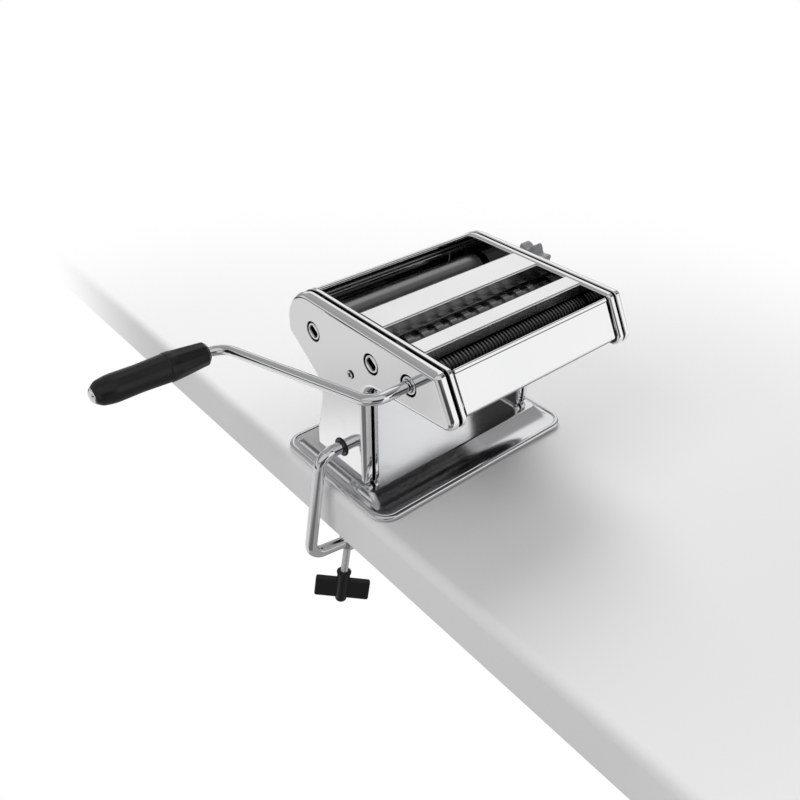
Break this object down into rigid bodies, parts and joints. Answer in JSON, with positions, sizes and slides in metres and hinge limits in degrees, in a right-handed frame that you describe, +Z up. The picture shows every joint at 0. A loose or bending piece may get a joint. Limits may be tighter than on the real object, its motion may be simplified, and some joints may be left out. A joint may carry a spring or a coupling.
{
  "type": "pasta machine",
  "caption": "Hand-cranked table-top pasta machine with chrome sides on a stamped base, dough rollers, wide and narrow cutters, gap knob, bent crank and a table-edge screw clamp.",
  "frame": {"origin": "on the table under the middle of the base", "axes": "+X from the crank side to the knob side, +Y from the front panel to the rear, +Z up"},
  "size_m": [0.3673, 0.2225, 0.2931],
  "materials": {
    "chrome": "polished",
    "steel": "ground",
    "dark_steel": "oiled",
    "bronze": "sintered",
    "black_plastic": "satin",
    "grey_plastic": "satin"
  },
  "bodies": {
    "body": {"base_plate": "chrome", "left_frame": "chrome", "right_frame": "chrome", "left_cover": "chrome", "right_cover": "chrome", "front_panel": "chrome", "rear_panel": "chrome", "roller_guard": "chrome", "cutter_guard": "chrome", "cover_screws": "chrome", "wide_combs": "steel", "narrow_combs": "steel", "rear_scraper": "steel", "tie_rods": "steel", "cover_rod": "steel", "left_foot_block": "dark_steel", "right_foot_block": "dark_steel", "foot_screws": "dark_steel", "tie_screws": "dark_steel", "roller_bushes": "bronze", "wide_bushes": "bronze", "narrow_bushes": "bronze", "base_tray": "black_plastic", "clamp_grommet": "black_plastic", "knob_bush": "grey_plastic"},
    "dough_drive": {"driven_roller": "steel", "dough_socket": "chrome", "dough_gear": "dark_steel"},
    "carrier": {"left_slide": "dark_steel", "right_slide": "dark_steel", "carrier_bar": "dark_steel", "front_scraper": "steel"},
    "gap_roller": {"gap_roller": "steel", "gap_gear": "dark_steel"},
    "wide_drive": {"wide_cutter": "steel", "wide_socket": "chrome", "wide_gear": "dark_steel"},
    "wide_partner": {"wide_partner": "steel", "wide_partner_gear": "dark_steel"},
    "narrow_drive": {"narrow_cutter": "steel", "narrow_socket": "chrome", "narrow_gear": "dark_steel"},
    "narrow_partner": {"narrow_partner": "steel", "narrow_partner_gear": "dark_steel"},
    "cam": {"cam_shaft": "dark_steel", "knob_retainer": "steel", "knob_spring": "steel"},
    "knob": {"gap_knob": "grey_plastic", "knob_cap": "grey_plastic"},
    "crank": {"crank_rod": "chrome", "grip_cap": "chrome"},
    "grip": {"crank_grip": "black_plastic"},
    "clamp": {"clamp_rod": "chrome"},
    "pad": {"clamp_pad": "black_plastic"},
    "clamp_screw": {"clamp_screw": "steel", "clamp_wing": "black_plastic"}
  },
  "joints": [
    {"name": "dough_spin", "type": "hinge", "parent": "body", "child": "dough_drive", "pos_m": [0, 0.0273, 0.1272], "axis": [1, 0, 0], "continuous": true},
    {"name": "carrier_slide", "type": "slide", "parent": "body", "child": "carrier", "axis": [0, 1, 0], "range_m": [-0.0012, 0.0012]},
    {"name": "gap_spin", "type": "hinge", "parent": "carrier", "child": "gap_roller", "pos_m": [0, -0.0017, 0.1272], "axis": [1, 0, 0], "continuous": true},
    {"name": "wide_spin", "type": "hinge", "parent": "body", "child": "wide_drive", "pos_m": [0, -0.0433, 0.132], "axis": [1, 0, 0], "continuous": true},
    {"name": "wide_partner_spin", "type": "hinge", "parent": "body", "child": "wide_partner", "pos_m": [0, -0.0613, 0.132], "axis": [1, 0, 0], "continuous": true},
    {"name": "narrow_spin", "type": "hinge", "parent": "body", "child": "narrow_drive", "pos_m": [0, -0.0839, 0.1348], "axis": [1, 0, 0], "continuous": true},
    {"name": "narrow_partner_spin", "type": "hinge", "parent": "body", "child": "narrow_partner", "pos_m": [0, -0.1019, 0.1348], "axis": [1, 0, 0], "continuous": true},
    {"name": "knob_turn", "type": "hinge", "parent": "body", "child": "cam", "pos_m": [0.094, -0.008, 0.133], "axis": [1, 0, 0], "range_deg": [-150.5, 150.5]},
    {"name": "knob_pull", "type": "slide", "parent": "cam", "child": "knob", "axis": [1, 0, 0], "range_m": [0, 0.004], "stiffness_N_per_m": 700, "springref_m": -0.002, "deforming": ["knob_spring"]},
    {"name": "crank_pull", "type": "slide", "parent": "narrow_drive", "child": "crank", "axis": [-1, 0, 0], "range_m": [0, 0.03]},
    {"name": "grip_spin", "type": "hinge", "parent": "crank", "child": "grip", "pos_m": [-0.202, 0.08372, 0.10645], "axis": [1, 0, 0], "continuous": true},
    {"name": "clamp_swing", "type": "hinge", "parent": "body", "child": "clamp", "pos_m": [-0.0935, -0.003, 0.0347], "axis": [1, 0, 0], "range_deg": [-30, 30]},
    {"name": "pad_slide", "type": "slide", "parent": "clamp", "child": "pad", "axis": [0.1736, 0, 0.9848], "range_m": [-0.006, 0.027]},
    {"name": "clamp_turn", "type": "hinge", "parent": "pad", "child": "clamp_screw", "pos_m": [-0.09227, -0.003, -0.06961], "axis": [0.1736, 0, 0.9848], "range_deg": [-1442, 6482]}
  ],
  "couplings": [
    {"joint": "gap_spin", "follows": "dough_spin", "ratio": -1},
    {"joint": "wide_partner_spin", "follows": "wide_spin", "ratio": -1},
    {"joint": "narrow_partner_spin", "follows": "narrow_spin", "ratio": -1},
    {"joint": "knob_turn", "follows": "carrier_slide", "rad_per_m": 2181.7},
    {"joint": "clamp_turn", "follows": "pad_slide", "rad_per_m": 4188.8}
  ]
}
